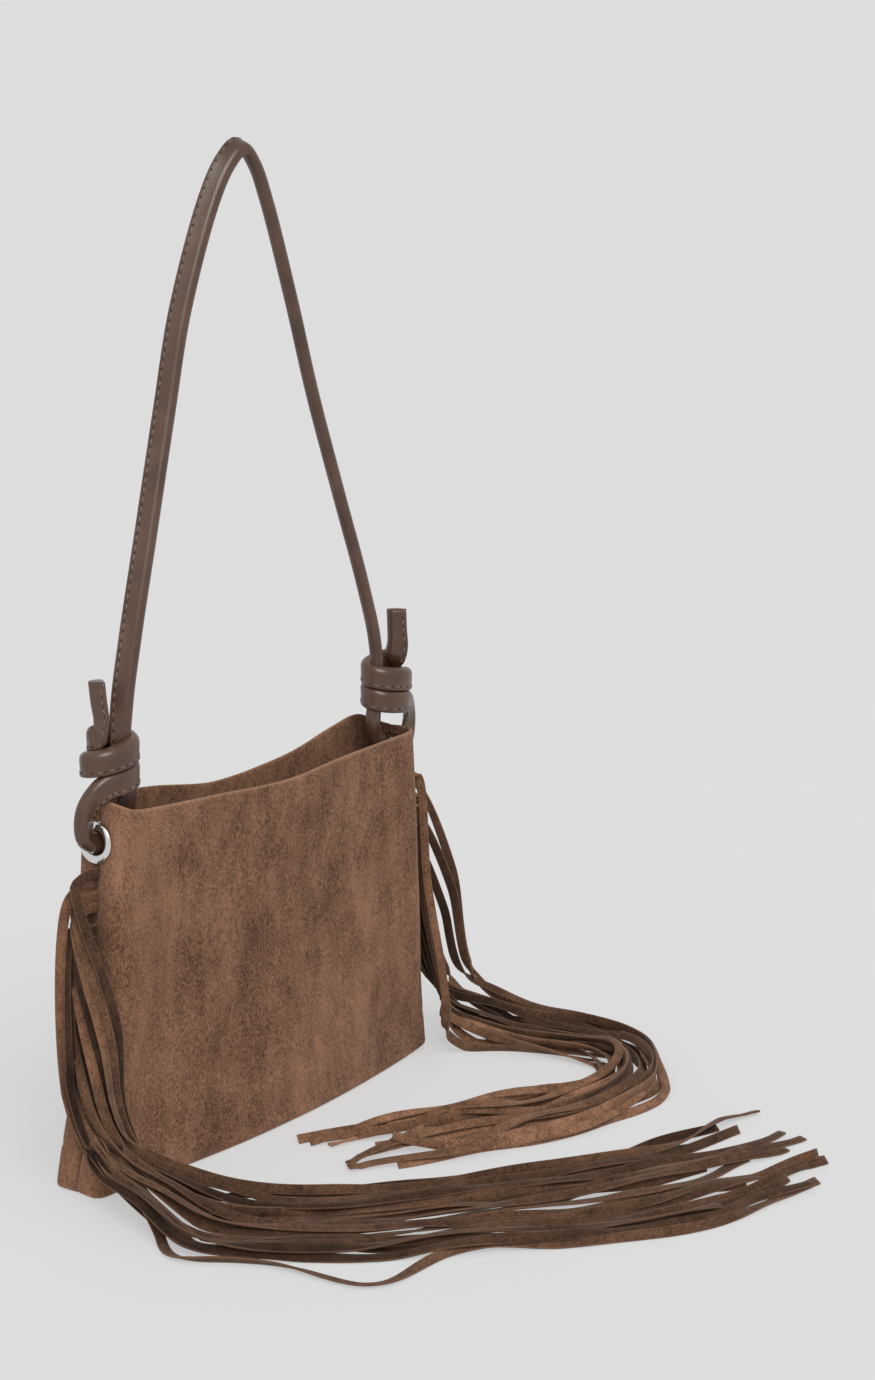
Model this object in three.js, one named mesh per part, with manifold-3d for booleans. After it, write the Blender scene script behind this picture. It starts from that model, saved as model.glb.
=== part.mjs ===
import * as THREE from "three";
import { mergeVertices } from "three/addons/utils/BufferGeometryUtils.js";
import Module from "manifold-3d";

// A soft shoulder bag in suede: a narrow pouch of two panels, an eyelet in each side seam,
// a rolled leather strap knotted through both eyelets, and a long fringe sewn into each side seam.
// Millimetres, +Z up. The origin lies under the middle of the base, and the front faces -Y.

// Pouch
const baseWidth = 276;
const mouthTaper = 14;
const mouthWidth = baseWidth - 2 * mouthTaper;
const pouchDepth = 34;
const pouchHeight = 200;
const wall = 2;
const cornerRadius = 6;
const frontSag = 7;
const backSag = 10;

// Gap between pieces that touch
const clearance = 0.3;

// Eyelets, one in the middle of each side
const eyeletDrop = 16;
const eyeletHole = 6.5;
const eyeletFlange = 11;
const flangeThickness = 1.4;
const flangeRounding = 0.4;
const barrelWall = 0.6;
const barrelLip = 0.9;
const washerThickness = 1;
const washerInset = 0.6;

// Strap, a round leather roll
const strapRadius = 4.6;
const strapSides = 8;
const archStep = 22;
const knotStep = 6;
const strapSeat = 0.9;
const archTop = 527;
const archLean = 10;
const knotInset = 11;
const knotRise = 13;
const knotTurns = 2;
const turnPoints = 8;
const turnPitch = 13;
const knotHalfWidth = 13.4;
const knotHalfDepth = 8.8;
const standingInset = 7;
const tailLength = 28;

// Fringe, flat suede laces side by side along each side seam
const laceWidth = 5.3;
const laceThickness = 1.3;
const laceSteps = 38;
const fringeGap = 5;
const exitPitch = 6;
const exitSpread = 5.5;
const exitStub = 7;
const stubGrowth = 0.9;
const hangShare = 0.6;
const lowHang = 34;
const headerWidth = 12;
const headerMargin = 3;

// How laces lie on one another
const laySpacing = 4;
const layReach = laceWidth + 1.2;
const layRise = laceThickness + clearance;
const layWindow = 10;
const laySlope = 0.25;
const lieHeight = 19;
const floorLift = laceThickness / 2 + clearance;
const layPasses = 3;

// Numeric limits
const weld = 1e-4;
const tiny = 1e-9;

const wasm = await Module();
wasm.setup();

const SIDES = { left: -1, right: 1 };
const sideLean = Math.atan((baseWidth - mouthWidth) / 2 / pouchHeight);

// Half the pouch's outer width at a height above the floor.
function halfWidth(z) {
  return THREE.MathUtils.lerp(baseWidth, mouthWidth, z / pouchHeight) / 2;
}

function toSolid(geometry) {
  const bare = geometry.clone();
  bare.deleteAttribute("normal");
  bare.deleteAttribute("uv");
  const merged = mergeVertices(bare, weld);
  const vertProperties = new Float32Array(merged.attributes.position.array);
  const triVerts = new Uint32Array(merged.index.array);
  return new wasm.Manifold(new wasm.Mesh({ numProp: 3, vertProperties, triVerts }));
}

function toGeometry(solid) {
  const mesh = solid.getMesh();
  const geometry = new THREE.BufferGeometry();
  geometry.setAttribute("position", new THREE.BufferAttribute(mesh.vertProperties, 3));
  geometry.setIndex(new THREE.BufferAttribute(mesh.triVerts, 1));
  geometry.computeVertexNormals();
  return geometry;
}

function suede(color) {
  return new THREE.MeshStandardMaterial({ color, roughness: 0.95, metalness: 0 });
}

function nickel() {
  return new THREE.MeshStandardMaterial({ color: 0xd8d6d2, roughness: 0.2, metalness: 1 });
}

function strapLeather() {
  return new THREE.MeshStandardMaterial({ color: 0x6a5347, roughness: 0.5, metalness: 0 });
}

const bag = new THREE.Group();

function addPiece(name, geometry, material, parent = bag) {
  const mesh = new THREE.Mesh(geometry, material);
  mesh.name = name;
  parent.add(mesh);
}

// Pouch panels

function roundedRectangle(halfX, halfY, radius) {
  const shape = new THREE.Shape();
  shape.moveTo(halfX, -halfY + radius);
  shape.absarc(halfX - radius, halfY - radius, radius, 0, Math.PI / 2);
  shape.absarc(-halfX + radius, halfY - radius, radius, Math.PI / 2, Math.PI);
  shape.absarc(-halfX + radius, -halfY + radius, radius, Math.PI, 1.5 * Math.PI);
  shape.absarc(halfX - radius, -halfY + radius, radius, 1.5 * Math.PI, 2 * Math.PI);
  return shape;
}

// A block with the pouch's plan that narrows from base to mouth, set in from the outside by a margin.
function pouchBlock(inset, bottom, top) {
  const shape = roundedRectangle(baseWidth / 2 - inset, pouchDepth / 2 - inset, cornerRadius - inset);
  const block = new THREE.ExtrudeGeometry(shape, {
    depth: top - bottom,
    steps: 4,
    curveSegments: 4,
    bevelEnabled: false,
  });
  block.translate(0, 0, bottom);
  const position = block.attributes.position;
  for (let i = 0; i < position.count; i++) {
    const share = (halfWidth(position.getZ(i)) - inset) / (baseWidth / 2 - inset);
    position.setX(i, position.getX(i) * share);
  }
  return toSolid(block);
}

// What is cut away above a rim that dips by a sag between the two side seams.
function aboveRim(sag) {
  const reach = baseWidth;
  const rim = new THREE.Shape();
  rim.moveTo(-reach, 2 * pouchHeight);
  rim.lineTo(-reach, pouchHeight);
  rim.lineTo(-mouthWidth / 2, pouchHeight);
  rim.quadraticCurveTo(0, pouchHeight - 2 * sag, mouthWidth / 2, pouchHeight);
  rim.lineTo(reach, pouchHeight);
  rim.lineTo(reach, 2 * pouchHeight);
  const block = new THREE.ExtrudeGeometry(rim, {
    depth: 4 * pouchDepth,
    curveSegments: 10,
    bevelEnabled: false,
  });
  block.rotateX(Math.PI / 2);
  block.translate(0, 2 * pouchDepth, 0);
  return toSolid(block);
}

const eyeletHeight = pouchHeight - eyeletDrop;

// The turn that lays a lathe's axis along the way out of a leaning side.
function sideTurn(side) {
  return new THREE.Euler(0, -side * sideLean, (-side * Math.PI) / 2);
}

function eyeletPlace(side) {
  return new THREE.Vector3(side * halfWidth(eyeletHeight), 0, eyeletHeight);
}

function eyeletBore(side) {
  const radius = eyeletHole + barrelWall + clearance;
  const bore = new THREE.CylinderGeometry(radius, radius, pouchDepth, 32);
  const place = new THREE.Matrix4().makeRotationFromEuler(sideTurn(side));
  place.setPosition(eyeletPlace(side));
  bore.applyMatrix4(place);
  return toSolid(bore);
}

// Half of space in front of (-1) or behind (+1) the side seams.
function seamHalf(facing) {
  const half = new THREE.BoxGeometry(2 * baseWidth, 2 * pouchDepth, 4 * pouchHeight);
  half.translate(0, facing * (pouchDepth + clearance / 2), 0);
  return toSolid(half);
}

function pouchPanel(facing, sag) {
  const shell = pouchBlock(0, 0, pouchHeight).subtract(pouchBlock(wall, wall, pouchHeight + wall));
  return toGeometry(
    shell
      .subtract(aboveRim(sag))
      .subtract(eyeletBore(SIDES.left))
      .subtract(eyeletBore(SIDES.right))
      .intersect(seamHalf(facing)),
  );
}

addPiece("front_panel", pouchPanel(-1, frontSag), suede(0x76563f));
addPiece("back_panel", pouchPanel(1, backSag), suede(0x76563f));

// Eyelets: a flanged barrel from outside, closed over a washer on the inside

function eyeletProfile() {
  const lipOuter = eyeletHole + barrelWall + barrelLip;
  const seat = -(wall + 3 * clearance + washerThickness);
  const crown = clearance + flangeThickness;
  return [
    new THREE.Vector2(eyeletHole, seat - barrelWall),
    new THREE.Vector2(lipOuter, seat - barrelWall),
    new THREE.Vector2(lipOuter, seat),
    new THREE.Vector2(eyeletHole + barrelWall, seat),
    new THREE.Vector2(eyeletHole + barrelWall, clearance),
    new THREE.Vector2(eyeletFlange, clearance),
    new THREE.Vector2(eyeletFlange - flangeRounding, crown - flangeRounding),
    new THREE.Vector2(eyeletFlange - flangeThickness, crown),
    new THREE.Vector2(eyeletHole + flangeThickness, crown),
    new THREE.Vector2(eyeletHole + flangeRounding, crown - flangeRounding),
    new THREE.Vector2(eyeletHole, clearance),
    new THREE.Vector2(eyeletHole, seat - barrelWall),
  ];
}

function washerProfile() {
  const inner = eyeletHole + barrelWall + clearance;
  const outer = eyeletFlange - washerInset;
  const top = -(wall + clearance);
  const bottom = top - washerThickness;
  return [
    new THREE.Vector2(inner, bottom),
    new THREE.Vector2(outer, bottom),
    new THREE.Vector2(outer, top),
    new THREE.Vector2(inner, top),
    new THREE.Vector2(inner, bottom),
  ];
}

for (const [name, side] of Object.entries(SIDES)) {
  const seat = new THREE.Group();
  seat.position.copy(eyeletPlace(side));
  seat.rotation.copy(sideTurn(side));
  bag.add(seat);
  addPiece(name + "_eyelet", new THREE.LatheGeometry(eyeletProfile(), 32), nickel(), seat);
  addPiece(name + "_eyelet_washer", new THREE.LatheGeometry(washerProfile(), 32), nickel(), seat);
}

// Strap: an arch whose ends drop into the mouth, loop out through the eyelets and wrap
// round themselves in a knot above the rim, with a short tail left standing

const knotX = halfWidth(eyeletHeight) - knotInset;
const knotFoot = pouchHeight + knotRise;
const knotTop = knotFoot + knotTurns * turnPitch;

// The arch from its top to the knot: shares of the standing part's reach and of the rise.
const ARCH = [
  [0, 1],
  [0.1, 0.972],
  [0.205, 0.907],
  [0.41, 0.716],
  [0.55, 0.543],
  [0.72, 0.346],
  [0.88, 0.163],
  [0.965, 0.045],
];

// Where the arch runs on through the knot: X in from its reach, and share of the knot's height.
const INSIDE_KNOT = [
  [1, 0.5],
  [4, -0.15],
];

function standingPart(side) {
  const reach = knotX - standingInset;
  const arch = ARCH.map(([across, up]) => {
    const height = THREE.MathUtils.lerp(knotTop, archTop, up);
    return new THREE.Vector3(side * across * reach, archLean * up, height);
  });
  const foot = INSIDE_KNOT.map(([inset, up]) => {
    const height = THREE.MathUtils.lerp(knotFoot, knotTop, up);
    return new THREE.Vector3(side * (reach - inset), 0, height);
  });
  return [...arch, ...foot];
}

// The loop from the arch's foot out through the eyelet: X, Y and Z from where it seats in the hole.
const EYELET_LOOP = [
  [-21, 0, 30],
  [-23, 0, 20],
  [-21, 0, 11],
  [-15, 0, 3.3],
  [-8, 0, 0.3],
  [0, 0, 0],
  [7, 0, 3.3],
  [9, -0.5, 12],
  [7, -2, 21],
];

// The tail above the last turn: X from the knot's middle, Y, and share of the tail's length.
const TAIL = [
  [9, -3, 0.18],
  [8, -1, 0.5],
  [8, 0, 1],
];

function loopAndKnot(side) {
  const eyelet = eyeletPlace(side);
  const seatHeight = eyelet.z + eyeletHole - strapRadius - strapSeat;
  const points = EYELET_LOOP.map(
    ([x, y, z]) => new THREE.Vector3(eyelet.x + side * x, y, seatHeight + z),
  );
  for (let i = 1; i <= turnPoints * knotTurns; i++) {
    const turns = i / turnPoints;
    const angle = turns * 2 * Math.PI;
    points.push(
      new THREE.Vector3(
        side * (knotX + knotHalfWidth * Math.cos(angle)),
        -knotHalfDepth * Math.sin(angle),
        knotFoot + turnPitch * turns,
      ),
    );
  }
  const tail = TAIL.map(
    ([x, y, up]) => new THREE.Vector3(side * (knotX + x), y, knotTop + tailLength * up),
  );
  return [...points, ...tail];
}

function roundSection(radius, sides) {
  const corners = [];
  for (let i = 0; i < sides; i++) {
    const angle = (i / sides) * 2 * Math.PI;
    corners.push(new THREE.Vector2(radius * Math.cos(angle), radius * Math.sin(angle)));
  }
  return new THREE.Shape(corners);
}

function alongRoute(section, points, steps) {
  const route = new THREE.CatmullRomCurve3(points);
  route.arcLengthDivisions = 8 * points.length;
  return new THREE.ExtrudeGeometry(section, { steps, extrudePath: route, bevelEnabled: false });
}

function stepsAlong(points, step) {
  return Math.ceil(new THREE.CatmullRomCurve3(points).getLength() / step);
}

const strapSection = roundSection(strapRadius, strapSides);
const archPoints = [...standingPart(SIDES.left).reverse(), ...standingPart(SIDES.right).slice(1)];
let strap = toSolid(alongRoute(strapSection, archPoints, stepsAlong(archPoints, archStep)));
for (const side of Object.values(SIDES)) {
  const points = loopAndKnot(side);
  strap = strap.add(toSolid(alongRoute(strapSection, points, stepsAlong(points, knotStep))));
}
addPiece("strap", toGeometry(strap), strapLeather());

// Fringe: a header inside each side seam, and the laces that hang from it and lie on the floor.
// A lace's lane runs from 0, next to the pouch's front, to 1, furthest out.

const fringeTop = eyeletHeight - eyeletFlange - fringeGap;

// Each lane's place in the seam, counted down from the top of the fringe: the lanes nearest
// the front leave one below the other, and the outer lanes leave between them, lowest first.
const EXIT_RANKS = [0, 2, 3, 5, 6, 8, 9, 11, 12, 14, 15, 16, 17, 13, 10, 7, 4, 1];

// Routes of the two edge lanes: the hang at its middle and low down, then points on the floor,
// each as [X from the pouch's bottom corner, Y]. Neighbours hang a stagger apart in depth,
// and ends are the shares of the route that the laces run.
const FRINGES = {
  left: {
    stagger: 6.5,
    ends: [0.93, 1, 0.95, 0.88, 0.99, 0.91, 1, 0.86, 0.97,
      0.92, 0.87, 0.98, 0.9, 1, 0.94, 0.85, 0.96, 0.98],
    inner: {
      hang: [[-7.5, -39], [14, -31.5]],
      floor: [[31.5, -65.5], [54.5, -75], [70, -97], [98, -120], [130, -143],
        [180, -173], [224, -195], [272, -209], [316, -214]],
    },
    outer: {
      hang: [[-21, 10], [-31, -5.5]],
      floor: [[-33, -51], [-36, -94], [-18.5, -119], [22, -168], [66, -206],
        [112, -248], [160, -278], [212, -297], [258, -303]],
    },
  },
  right: {
    stagger: 0,
    ends: [1, 0.94, 0.98, 0.9, 0.87, 1, 0.92, 0.97, 0.84,
      0.95, 0.89, 0.93, 0.99, 0.86, 0.88, 1, 0.91, 0.96],
    inner: {
      hang: [[7.5, -24], [-2, -48.5]],
      floor: [[-3.5, -45], [14, -72.5], [26.5, -101.5], [31.5, -113.5], [8, -124.5],
        [-31.5, -105.5], [-78.5, -92], [-124, -62], [-162, -50]],
    },
    outer: {
      hang: [[45, 14], [71, 16]],
      floor: [[87.5, -19.5], [101.5, -64], [94, -128], [58.5, -152], [25, -178],
        [-46, -181], [-79.5, -163], [-132, -136], [-166, -98]],
    },
  },
};

// The free route of one lace, from its seam to its tip, at an even spacing.
function freeRoute(fringe, side, laneNumber) {
  const lane = laneNumber / (EXIT_RANKS.length - 1);
  const exitZ = fringeTop - EXIT_RANKS[laneNumber] * exitPitch;
  const exitX = halfWidth(exitZ) + clearance;
  const exitY = THREE.MathUtils.lerp(-exitSpread, exitSpread, lane);
  const stub = exitStub + stubGrowth * (EXIT_RANKS.length - 1 - EXIT_RANKS[laneNumber]);
  const corner = (side * baseWidth) / 2;
  const depth = fringe.stagger * ((laneNumber % layPasses) - 1);
  const between = (a, b, z, setBack) => {
    const spread = new THREE.Vector2(b[0] - a[0], b[1] - a[1]).normalize();
    return new THREE.Vector3(
      corner + THREE.MathUtils.lerp(a[0], b[0], lane) - spread.y * setBack,
      THREE.MathUtils.lerp(a[1], b[1], lane) + spread.x * setBack,
      z,
    );
  };
  const { inner, outer } = fringe;
  const points = [
    new THREE.Vector3(side * exitX, exitY, exitZ),
    new THREE.Vector3(side * (exitX + stub), exitY, exitZ),
    between(inner.hang[0], outer.hang[0], hangShare * exitZ, depth),
    between(inner.hang[1], outer.hang[1], lowHang, depth),
    ...inner.floor.map((point, i) => between(point, outer.floor[i], floorLift, i ? 0 : depth)),
  ];
  const whole = new THREE.CatmullRomCurve3(points, false, "centripetal");
  whole.arcLengthDivisions = 400;
  const length = whole.getLength() * fringe.ends[laneNumber];
  const count = Math.round(length / laySpacing);
  const route = [];
  for (let i = 0; i <= count; i++) {
    route.push(whole.getPointAt(Math.min(1, (i * laySpacing) / whole.getLength())));
  }
  return route;
}

function distanceInPlan(point, a, b) {
  const dx = b.x - a.x;
  const dy = b.y - a.y;
  const along = ((point.x - a.x) * dx + (point.y - a.y) * dy) / (dx * dx + dy * dy + tiny);
  const t = THREE.MathUtils.clamp(along, 0, 1);
  return Math.hypot(point.x - a.x - t * dx, point.y - a.y - t * dy);
}

// Raises a route where it would lie on laces that are down already, in long low humps.
function layOn(route, laid) {
  const heights = route.map((point) => {
    let z = Math.max(point.z, floorLift);
    if (z > lieHeight) return z;
    for (const other of laid) {
      for (let i = 1; i < other.length; i++) {
        if (other[i].z > lieHeight) continue;
        if (distanceInPlan(point, other[i - 1], other[i]) < layReach) {
          z = Math.max(z, Math.max(other[i - 1].z, other[i].z) + layRise);
        }
      }
    }
    return z;
  });
  const window = Math.ceil(layWindow / laySpacing);
  const raised = heights.map((own, i) => {
    let z = own;
    for (let j = 0; j < heights.length; j++) {
      const apart = Math.max(0, Math.abs(i - j) - window) * laySpacing;
      if (heights[j] <= lieHeight) z = Math.max(z, heights[j] - laySlope * apart);
    }
    return z;
  });
  return route.map((point, i) => new THREE.Vector3(point.x, point.y, raised[i]));
}

function laceSection() {
  const halfThick = laceThickness / 2;
  const halfWide = laceWidth / 2;
  return new THREE.Shape([
    new THREE.Vector2(-halfThick, -halfWide),
    new THREE.Vector2(halfThick, -halfWide),
    new THREE.Vector2(halfThick, halfWide),
    new THREE.Vector2(-halfThick, halfWide),
  ]);
}

function header(side) {
  const top = fringeTop + headerMargin;
  const bottom = fringeTop - (EXIT_RANKS.length - 1) * exitPitch - headerMargin;
  const middle = (top + bottom) / 2;
  const setIn = wall + 1.5 * clearance + laceThickness / 2;
  const band = new THREE.BoxGeometry(laceThickness, headerWidth, top - bottom);
  band.rotateY(-side * sideLean);
  band.translate(side * (halfWidth(middle) - setIn), 0, middle);
  return band;
}

// Every third lane is laid first, so that the pile stays a few laces deep.
const laneOrder = EXIT_RANKS.map((_, i) => i).sort((a, b) => (a % layPasses) - (b % layPasses) || a - b);

const laid = [];
for (const [name, side] of Object.entries(SIDES)) {
  addPiece(name + "_fringe_header", header(side), suede(0x6e503c));
  for (const laneNumber of laneOrder) {
    const route = layOn(freeRoute(FRINGES[name], side, laneNumber), laid);
    laid.push(route);
    const label = String(laneNumber + 1).padStart(2, "0");
    const lace = alongRoute(laceSection(), [...route].reverse(), laceSteps);
    addPiece(name + "_lace_" + label, lace, suede(0x7a5c4a));
  }
}

export default bag;
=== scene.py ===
import math

import bmesh
import bpy
from mathutils import Matrix, Vector, kdtree, noise


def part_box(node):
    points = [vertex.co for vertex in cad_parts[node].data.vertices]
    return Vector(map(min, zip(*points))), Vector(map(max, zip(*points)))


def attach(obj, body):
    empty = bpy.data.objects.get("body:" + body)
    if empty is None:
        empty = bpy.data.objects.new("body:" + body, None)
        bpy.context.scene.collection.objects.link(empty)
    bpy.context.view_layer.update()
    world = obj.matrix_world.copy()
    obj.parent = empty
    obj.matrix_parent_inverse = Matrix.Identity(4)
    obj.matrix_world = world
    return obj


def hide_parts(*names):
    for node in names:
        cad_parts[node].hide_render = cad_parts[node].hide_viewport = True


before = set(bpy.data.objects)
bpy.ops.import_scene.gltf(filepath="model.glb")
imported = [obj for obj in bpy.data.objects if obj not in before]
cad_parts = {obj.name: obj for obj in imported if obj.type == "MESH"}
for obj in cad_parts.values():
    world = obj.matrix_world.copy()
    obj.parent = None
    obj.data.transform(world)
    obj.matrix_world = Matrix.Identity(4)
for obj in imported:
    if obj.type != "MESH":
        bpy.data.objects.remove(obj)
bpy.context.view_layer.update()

# Pouch panels
# Two pieces of brown brushed suede, cut alike and sewn together down both sides and along the base.
# Each wraps half of the sides and of the base, and its top edge is turned in to a deep plain hem.

mm = 0.001
front_low, front_high = (Vector(corner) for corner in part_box("front_panel"))
base_half = front_high.x
depth_half = -front_low.y
pouch_height = front_high.z
mouth_taper = 14 * mm
mouth_half = base_half - mouth_taper
suede_thickness = 1.05 * mm
corner_radius = 11 * mm
foot_corner = 0.6
base_fold = 2.6 * mm
hem_fold = 1.1 * mm
hem_depth = 38 * mm
base_pull = 0.06
base_spread = 7 * mm
spread_height = 50 * mm
front_belly = 10 * mm
belly_height = 80 * mm
belly_skew = 0.1
corner_lift = 4 * mm
lift_height = 30 * mm
dent_depth = 1.5 * mm
ripple_depth = 0.35 * mm
calm_height = 30 * mm
calm_share = 0.3
seam_reach = 6 * mm
seam_draw = 1.7 * mm
seam_draw_width = 8 * mm
seam_groove = 1.2 * mm
seam_groove_width = 1.5 * mm
box_seam_height = 23 * mm
box_seam_groove = 0.8 * mm
box_seam_width = 1.3 * mm
panel_columns = 172
panel_rows = 116

# Shares of the panel's rows in the base, the fold at the base, the wall and the fold at the rim.
BASE_SHARE, FOLD_SHARE, WALL_SHARE, RIM_SHARE = 0.09, 0.13, 0.83, 0.88

# Height of each rim at places across the mouth, both in millimetres, left to right.
FRONT_RIM = [(-124, 206), (-113, 201.5), (-94, 199.5), (-50, 196.5), (-18, 194), (10, 193),
             (55, 196), (95, 197.5), (124, 199)]
BACK_RIM = [(-124, 206), (-108, 203), (-68, 199), (-26, 192), (-8, 191), (20, 192),
            (49, 195), (86, 203), (106, 205.5), (124, 199)]


def along(points, x):
    """A smooth curve through points of rising x."""
    last = len(points) - 1
    k = 0
    while k < last - 1 and x > points[k + 1][0]:
        k += 1

    def slope(i):
        before = points[max(0, i - 1)]
        after = points[min(last, i + 1)]
        return (after[1] - before[1]) / (after[0] - before[0])

    (x0, y0), (x1, y1) = points[k], points[k + 1]
    t = min(1, max(0, (x - x0) / (x1 - x0)))
    rise = (x1 - x0) * (slope(k) * t * (1 - t) ** 2 - slope(k + 1) * t * t * (1 - t))
    return y0 + (y1 - y0) * t * t * (3 - 2 * t) + rise


def half_width(z):
    return base_half + (mouth_half - base_half) * min(1, z / pouch_height)


def plan(u, z, inset):
    """A panel's outline at a height, from one seam to the other: X, and distance from the seams."""
    corner = corner_radius * (foot_corner + (1 - foot_corner) * min(1, z / spread_height))
    straight = depth_half - corner
    turn = corner * math.pi / 2
    across = half_width(z) - corner
    run = abs(2 * u - 1) * (straight + turn + across)
    angle = min(math.pi / 2, max(0, (run - across) / corner))
    normal_x, normal_y = math.sin(angle), math.cos(angle)
    x = min(run, across) + (corner - inset) * normal_x
    y = straight + (corner - inset) * normal_y - max(0, run - across - turn)
    return math.copysign(x, u - 0.5), max(0, y)


def bump_at(offset, width):
    return math.exp(-((offset / width) ** 2))


def slack(x, y, z, facing):
    """How far the suede stands out from its plain shape: dents, the drawn-in seam, the boxed corner."""
    near_side = bump_at(max(0, half_width(z) - abs(x)), seam_reach)
    above_base = calm_share + (1 - calm_share) * min(1, z / calm_height)
    dents = noise.noise(Vector((11 * x, 11 * facing * y, 8 * z + 5 * facing)))
    ripples = noise.noise(Vector((38 * x, 31 * facing * y, 17 * z - 3 * facing)))
    out = above_base * (dent_depth * dents + ripple_depth * ripples)
    out -= seam_draw * bump_at(y, seam_draw_width) * near_side * above_base
    out -= seam_groove * bump_at(y, seam_groove_width) * near_side * above_base
    out -= box_seam_groove * bump_at(z - box_seam_height, box_seam_width) * near_side
    return out


def settled(x, y, z):
    """Lets the left foot stand wider, the front belly out over the base, and its right corner lift."""
    share = x / base_half
    front = max(0, -y / depth_half)
    left_foot = max(0, -share) ** 5 * bump_at(z, spread_height)
    belly = front * max(0, 1 - share * share) ** 1.5 * (1 - belly_skew * share)
    belly *= bump_at(z, belly_height)
    lift = front * max(0, share) ** 8 * bump_at(z, lift_height)
    return Vector((x - base_spread * left_foot, y - front_belly * belly, z + corner_lift * lift))


def panel_point(u, v, facing):
    """Where a point of the flat panel is once it is folded and sewn: u across, v from base to hem."""
    turn = -facing
    middle = 0.5 * pouch_height
    rim_x = plan(u, middle, 0)[0] * mouth_half / half_width(middle)
    rim = mm * along(FRONT_RIM if facing < 0 else BACK_RIM, turn * rim_x / mm)
    if v < BASE_SHARE:
        part = v / BASE_SHARE
        x, y = plan(u, 0, base_fold)
        x *= 1 - base_pull * (1 - part)
        return settled(turn * x, facing * y * part, 0)
    if v < FOLD_SHARE:
        angle = (v - BASE_SHARE) / (FOLD_SHARE - BASE_SHARE) * math.pi / 2
        z = base_fold * (1 - math.cos(angle))
        inset = base_fold * (1 - math.sin(angle))
    elif v < WALL_SHARE:
        z = base_fold + (rim - hem_fold - base_fold) * (v - FOLD_SHARE) / (WALL_SHARE - FOLD_SHARE)
        inset = 0
    elif v < RIM_SHARE:
        angle = (v - WALL_SHARE) / (RIM_SHARE - WALL_SHARE) * math.pi
        z = rim - hem_fold + hem_fold * math.sin(angle)
        inset = hem_fold * (1 - math.cos(angle))
    else:
        z = rim - hem_fold - hem_depth * (v - RIM_SHARE) / (1 - RIM_SHARE)
        inset = 2 * hem_fold
    x, y = plan(u, z, 0)
    inset -= slack(x, y, z, facing)
    x, y = plan(u, z, inset)
    return settled(turn * x, facing * y, z)


def suede(name, deep, pale, nap, grain, finish):
    """Brushed suede: nap brushed into paler and deeper patches, a fine grain, and a soft sheen."""
    material = bpy.data.materials.new(name)
    material.use_nodes = True
    nodes = material.node_tree.nodes
    links = material.node_tree.links
    shader = nodes["Principled BSDF"]
    shader.inputs["Roughness"].default_value = 0.93
    shader.inputs["Specular IOR Level"].default_value = 0.12
    shader.inputs["Sheen Weight"].default_value = 0.16
    shader.inputs["Sheen Roughness"].default_value = 0.5
    shader.inputs["Sheen Tint"].default_value = (0.9, 0.72, 0.58, 1)
    place = nodes.new("ShaderNodeTexCoord")

    def noise_at(scale, turn, detail, roughness):
        stretch = nodes.new("ShaderNodeMapping")
        stretch.inputs["Scale"].default_value = scale
        stretch.inputs["Rotation"].default_value = (turn, turn, 0)
        links.new(place.outputs["Object"], stretch.inputs["Vector"])
        texture = nodes.new("ShaderNodeTexNoise")
        texture.inputs["Scale"].default_value = 1
        texture.inputs["Detail"].default_value = detail
        texture.inputs["Roughness"].default_value = roughness
        links.new(stretch.outputs["Vector"], texture.inputs["Vector"])
        return texture.outputs["Fac"]

    def mixed(first, second, share):
        mix = nodes.new("ShaderNodeMix")
        mix.inputs["Factor"].default_value = share
        links.new(first, mix.inputs["A"])
        links.new(second, mix.inputs["B"])
        return mix.outputs["Result"]

    patches = noise_at(nap, 0.2, 5, 0.66)
    strokes = noise_at((4.2 * nap[0], 4.2 * nap[1], 2.8 * nap[2]), -0.24, 4, 0.66)
    fine = noise_at((grain, grain, 0.8 * grain), 0, 3, 0.75)
    tone = mixed(mixed(patches, strokes, 0.4), fine, 0.48)
    ramp = nodes.new("ShaderNodeValToRGB")
    ramp.color_ramp.elements[0].position = 0.405
    ramp.color_ramp.elements[0].color = (*deep, 1)
    ramp.color_ramp.elements[1].position = 0.595
    ramp.color_ramp.elements[1].color = (*pale, 1)
    links.new(tone, ramp.inputs["Fac"])
    links.new(finish(nodes, links, ramp.outputs["Color"]), shader.inputs["Base Color"])
    bump = nodes.new("ShaderNodeBump")
    bump.inputs["Strength"].default_value = 0.4
    bump.inputs["Distance"].default_value = 0.5 * mm
    links.new(mixed(fine, strokes, 0.3), bump.inputs["Height"])
    links.new(bump.outputs["Normal"], shader.inputs["Normal"])
    return material


def painted_fold_highlight(nodes, links, colour):
    """Mixes in a paler tone along a fold: a painted highlight where the nap catches the light."""
    fold_highlight = nodes.new("ShaderNodeAttribute")
    fold_highlight.attribute_name = "fold_highlight"
    mix = nodes.new("ShaderNodeMix")
    mix.data_type = "RGBA"
    links.new(fold_highlight.outputs["Fac"], mix.inputs["Factor"])
    links.new(colour, mix.inputs["A"])
    # Colour of the painted highlight along the folds.
    mix.inputs["B"].default_value = (0.36, 0.2, 0.128, 1)
    return mix.outputs["Result"]


def piece(name, bm, material, body, smooth=True):
    """Makes an object of a finished bmesh, fixed to a body of the frame."""
    mesh = bpy.data.meshes.new(name)
    for face in bm.faces:
        face.smooth = smooth
    bm.to_mesh(mesh)
    bm.free()
    mesh.materials.append(material)
    made = bpy.data.objects.new(name, mesh)
    bpy.context.scene.collection.objects.link(made)
    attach(made, body)
    return made


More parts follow.
